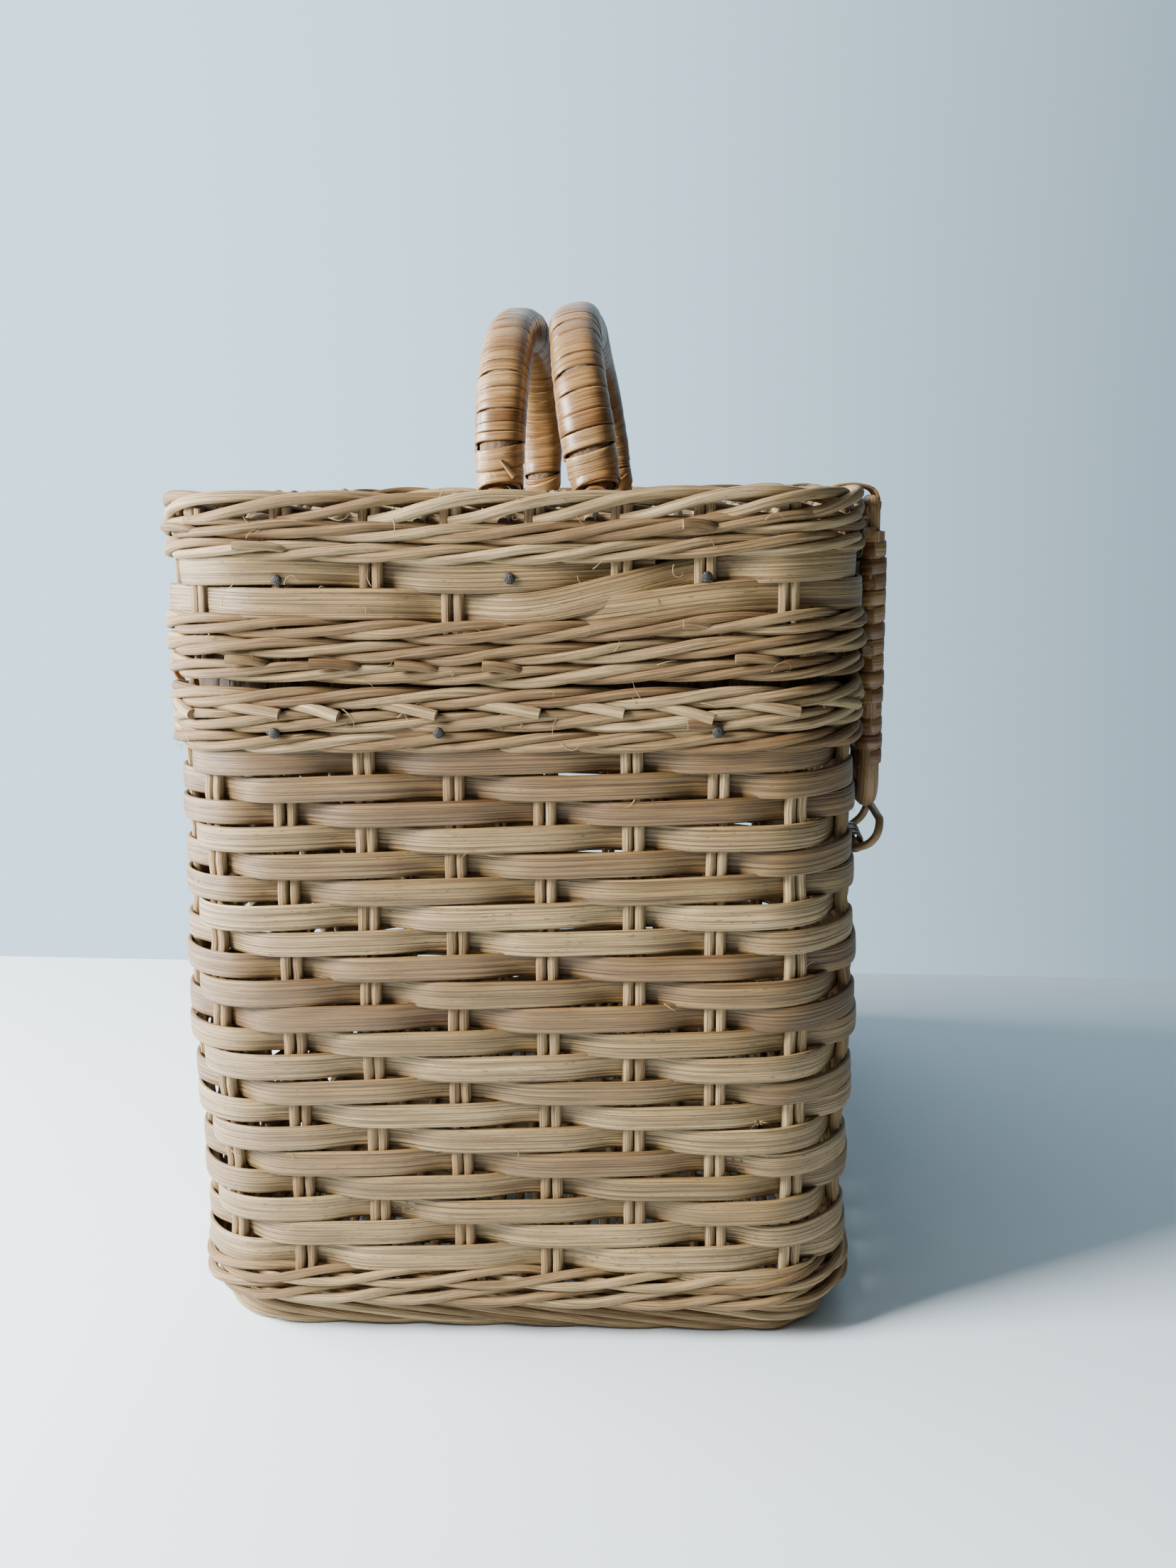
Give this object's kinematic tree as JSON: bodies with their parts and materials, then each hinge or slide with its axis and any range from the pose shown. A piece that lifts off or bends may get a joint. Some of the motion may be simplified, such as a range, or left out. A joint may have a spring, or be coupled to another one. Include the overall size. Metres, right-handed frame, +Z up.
{
  "type": "lidded wicker hamper basket",
  "caption": "Upright rectangular woven cane basket with a deep hinged lid, swing handles on top, tongue latches with cane keepers, rolled borders and nailed inner hoops.",
  "frame": {"origin": "on the ground, under the middle of the bounding box", "axes": "+Z up, +X along the long side, -Y towards the front, where the latches are"},
  "size_m": [0.2832, 0.2075, 0.2946],
  "materials": {
    "round_cane": "dry unvarnished round core cane",
    "flat_cane": "dry unvarnished flat core cane with lengthwise grain",
    "peel_cane": "glossy outer cane peel",
    "rattan": "smooth whole rattan rod",
    "steel": "dull blued steel nail"
  },
  "bodies": {
    "basket": {"foot_border": "round_cane", "base_mat": "flat_cane", "lower_wale": "round_cane", "wall_weave": "flat_cane", "upper_wale": "round_cane", "body_border": "round_cane", "body_hoop_core": "rattan", "body_hoop_wrap": "flat_cane", "hinge_body_loop_left_outer": "peel_cane", "hinge_body_loop_left_inner": "peel_cane", "hinge_body_loop_right_outer": "peel_cane", "hinge_body_loop_right_inner": "peel_cane", "hinge_pin_left": "rattan", "hinge_pin_right": "rattan", "keeper_sleeve_left": "peel_cane", "keeper_sleeve_right": "peel_cane", "body_nail_left_1": "steel", "body_nail_left_2": "steel", "body_nail_left_3": "steel", "body_nail_right_1": "steel", "body_nail_right_2": "steel", "body_nail_right_3": "steel", "body_nail_front_left": "steel", "body_nail_front_right": "steel"},
    "lid": {"lid_border": "round_cane", "lid_lower_wale": "round_cane", "lid_weave": "flat_cane", "lid_upper_wale": "round_cane", "lid_top_border": "round_cane", "lid_mat": "flat_cane", "lid_hoop_core": "rattan", "lid_hoop_wrap": "flat_cane", "hinge_lid_loop_left": "peel_cane", "hinge_lid_loop_right": "peel_cane", "hasp_lashing_left": "peel_cane", "hasp_lashing_right": "peel_cane", "handle_lashing_front_left": "peel_cane", "handle_lashing_front_right": "peel_cane", "handle_lashing_back_left": "peel_cane", "handle_lashing_back_right": "peel_cane", "handle_bar_front": "rattan", "handle_bar_back": "rattan", "lid_nail_left_1": "steel", "lid_nail_left_2": "steel", "lid_nail_left_3": "steel", "lid_nail_right_1": "steel", "lid_nail_right_2": "steel", "lid_nail_right_3": "steel"},
    "handle_front": {"handle_core_front": "rattan", "handle_wrap_front": "peel_cane"},
    "handle_back": {"handle_core_back": "rattan", "handle_wrap_back": "peel_cane"},
    "hasp_left": {"hasp_core_left": "rattan", "hasp_wrap_left": "peel_cane"},
    "hasp_right": {"hasp_core_right": "rattan", "hasp_wrap_right": "peel_cane"},
    "keeper_loop_left": {"keeper_left": "rattan"},
    "keeper_loop_right": {"keeper_right": "rattan"}
  },
  "joints": [
    {"name": "lid_hinge", "type": "hinge", "parent": "basket", "child": "lid", "pos_m": [0, 0.1006, 0.185], "axis": [-1, 0, 0], "range_deg": [0, 120]},
    {"name": "handle_front_pivot", "type": "hinge", "parent": "lid", "child": "handle_front", "pos_m": [0, -0.0206, 0.2317], "axis": [1, 0, 0], "range_deg": [0, 50]},
    {"name": "handle_back_pivot", "type": "hinge", "parent": "lid", "child": "handle_back", "pos_m": [0, 0.0081, 0.2317], "axis": [-1, 0, 0], "range_deg": [0, 50]},
    {"name": "hasp_left_pivot", "type": "hinge", "parent": "lid", "child": "hasp_left", "pos_m": [-0.08, -0.0989, 0.2303], "axis": [-1, 0, 0], "range_deg": [0, 150]},
    {"name": "hasp_right_pivot", "type": "hinge", "parent": "lid", "child": "hasp_right", "pos_m": [0.08, -0.0989, 0.2303], "axis": [-1, 0, 0], "range_deg": [0, 150]},
    {"name": "keeper_left_pivot", "type": "hinge", "parent": "basket", "child": "keeper_loop_left", "pos_m": [-0.08, -0.0957, 0.1315], "axis": [1, 0, 0], "range_deg": [0, 125]},
    {"name": "keeper_right_pivot", "type": "hinge", "parent": "basket", "child": "keeper_loop_right", "pos_m": [0.08, -0.0957, 0.1315], "axis": [1, 0, 0], "range_deg": [0, 125]}
  ]
}
